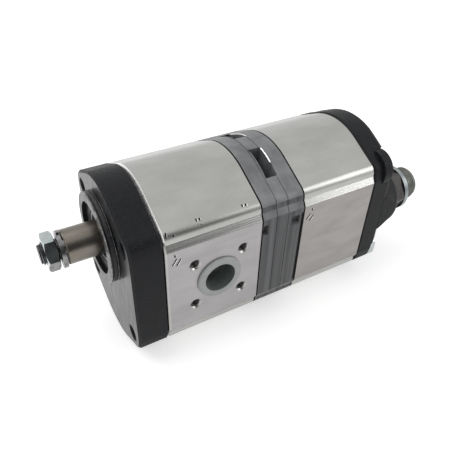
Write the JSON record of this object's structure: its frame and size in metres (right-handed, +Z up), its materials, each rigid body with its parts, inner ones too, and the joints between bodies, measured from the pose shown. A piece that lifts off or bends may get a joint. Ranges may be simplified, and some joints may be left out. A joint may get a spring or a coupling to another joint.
{
  "type": "tandem gear pump",
  "caption": "Tandem hydraulic gear pump: tapered drive shaft, piloted flange, aluminium gear bodies in line with a vented middle flange, and a rear cover with a screwed outlet fitting.",
  "frame": {"origin": "on the drive shaft's axis, in the mounting face of the front cover at the root of the pilot", "axes": "+X along the drive shaft from the mounting flange towards the outlet fitting, +Z up from the driven shaft to the drive shaft, -Y towards the pressure side with the front outlet port"},
  "size_m": [0.2374, 0.0834, 0.1021],
  "materials": {
    "shaft_steel": "ground steel",
    "sleeve_plastic": "brown transport sleeve",
    "dark_steel": "dark phosphated steel",
    "zinc_steel": "zinc-plated steel",
    "black_cover": "black, satin, with machined faces",
    "seal_rubber": "black rubber",
    "brushed_body": "extruded aluminium, finely brushed",
    "block_aluminium": "machined aluminium",
    "bush_bronze": "bronze-backed bush",
    "backup_plastic": "hard plastic backing ring",
    "cast_flange": "raw die casting, dull grey",
    "plug_plastic": "grey-green moulded plug"
  },
  "bodies": {
    "housing": {"front_cover": "black_cover", "pilot_ring": "seal_rubber", "shaft_seal": "seal_rubber", "seal_circlip": "dark_steel", "front_cover_seal_ring": "seal_rubber", "front_cover_dowels": "shaft_steel", "front_body": "brushed_body", "front_stage_front_block": "block_aluminium", "front_stage_rear_block": "block_aluminium", "front_stage_bushes": "bush_bronze", "front_stage_axial_seals": "seal_rubber", "front_stage_backup_rings": "backup_plastic", "middle_front_seal_ring": "seal_rubber", "middle_front_dowels": "shaft_steel", "middle_flange": "cast_flange", "middle_front_shaft_seal": "seal_rubber", "middle_rear_shaft_seal": "seal_rubber", "middle_rear_seal_ring": "seal_rubber", "middle_rear_dowels": "shaft_steel", "rear_body": "brushed_body", "rear_stage_front_block": "block_aluminium", "rear_stage_rear_block": "block_aluminium", "rear_stage_bushes": "bush_bronze", "rear_stage_axial_seals": "seal_rubber", "rear_stage_backup_rings": "backup_plastic", "rear_cover_seal_ring": "seal_rubber", "rear_cover_dowels": "shaft_steel", "rear_cover": "black_cover", "through_bolts": "dark_steel", "fitting_seal_ring": "seal_rubber", "outlet_fitting": "zinc_steel"},
    "drive_train": {"front_drive_gear": "shaft_steel", "woodruff_key": "shaft_steel", "shaft_sleeve": "sleeve_plastic", "spring_washer": "dark_steel", "shaft_nut": "zinc_steel", "coupling_disc": "dark_steel", "rear_drive_gear": "shaft_steel"},
    "front_driven": {"front_driven_gear": "shaft_steel"},
    "rear_driven": {"rear_driven_gear": "shaft_steel"},
    "front_outlet_cap": {"front_outlet_plug": "plug_plastic"},
    "front_inlet_cap": {"front_inlet_plug": "plug_plastic"},
    "rear_inlet_cap": {"rear_inlet_plug": "plug_plastic"}
  },
  "joints": [
    {"name": "drive_spin", "type": "hinge", "parent": "housing", "child": "drive_train", "pos_m": [0, 0, 0], "axis": [1, 0, 0], "continuous": true},
    {"name": "front_driven_spin", "type": "hinge", "parent": "housing", "child": "front_driven", "pos_m": [0, 0, -0.0345], "axis": [1, 0, 0], "continuous": true},
    {"name": "rear_driven_spin", "type": "hinge", "parent": "housing", "child": "rear_driven", "pos_m": [0, 0, -0.0345], "axis": [1, 0, 0], "continuous": true},
    {"name": "front_outlet_plug_pull", "type": "slide", "parent": "housing", "child": "front_outlet_cap", "axis": [0, -1, 0], "range_m": [0, 0.02]},
    {"name": "front_inlet_plug_pull", "type": "slide", "parent": "housing", "child": "front_inlet_cap", "axis": [0, 1, 0], "range_m": [0, 0.02]},
    {"name": "rear_inlet_plug_pull", "type": "slide", "parent": "housing", "child": "rear_inlet_cap", "axis": [0, 1, 0], "range_m": [0, 0.02]}
  ],
  "couplings": [
    {"joint": "front_driven_spin", "follows": "drive_spin", "ratio": -1},
    {"joint": "rear_driven_spin", "follows": "drive_spin", "ratio": -1}
  ]
}
